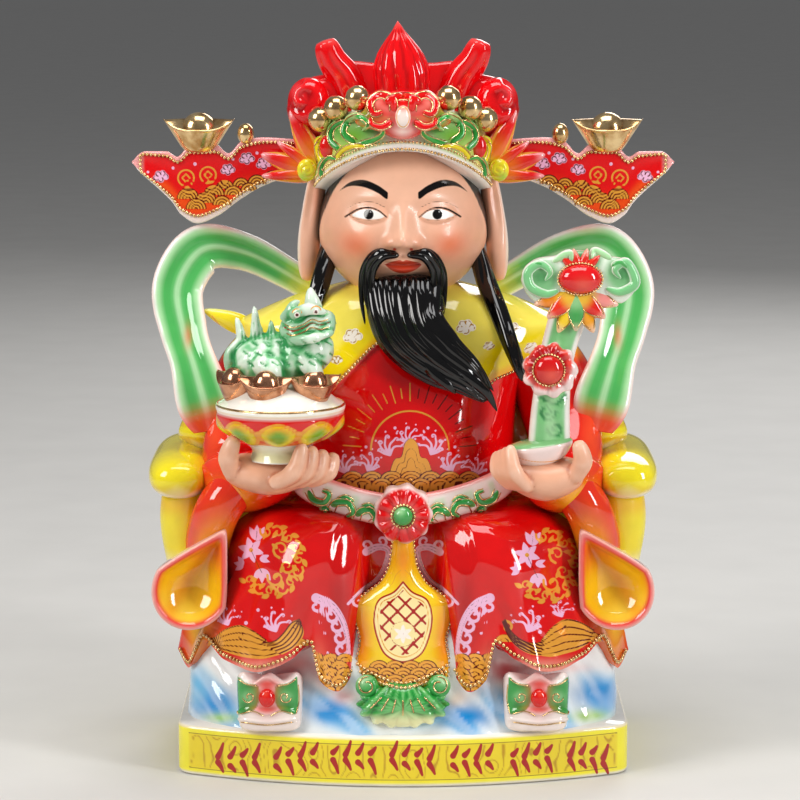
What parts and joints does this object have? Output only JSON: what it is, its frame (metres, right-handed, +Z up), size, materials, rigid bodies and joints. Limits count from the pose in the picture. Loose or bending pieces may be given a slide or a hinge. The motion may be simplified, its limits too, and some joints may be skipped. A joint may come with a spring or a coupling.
{
  "type": "porcelain wealth god figure",
  "caption": "Glazed porcelain figure of a seated bearded official in a winged hat, holding a treasure bowl and a sceptre, on a low bowed plinth.",
  "frame": {"origin": "on the underside of the plinth, on the figure's middle plane, under the throne", "axes": "+Z up, the figure faces -Y, its left hand with the sceptre is towards +X"},
  "size_m": [0.308, 0.1855, 0.42],
  "materials": {
    "glazed_porcelain": "glossy painted glaze with gold lustre"
  },
  "bodies": {
    "root": {"porcelain_figure": "glazed_porcelain"}
  },
  "joints": []
}
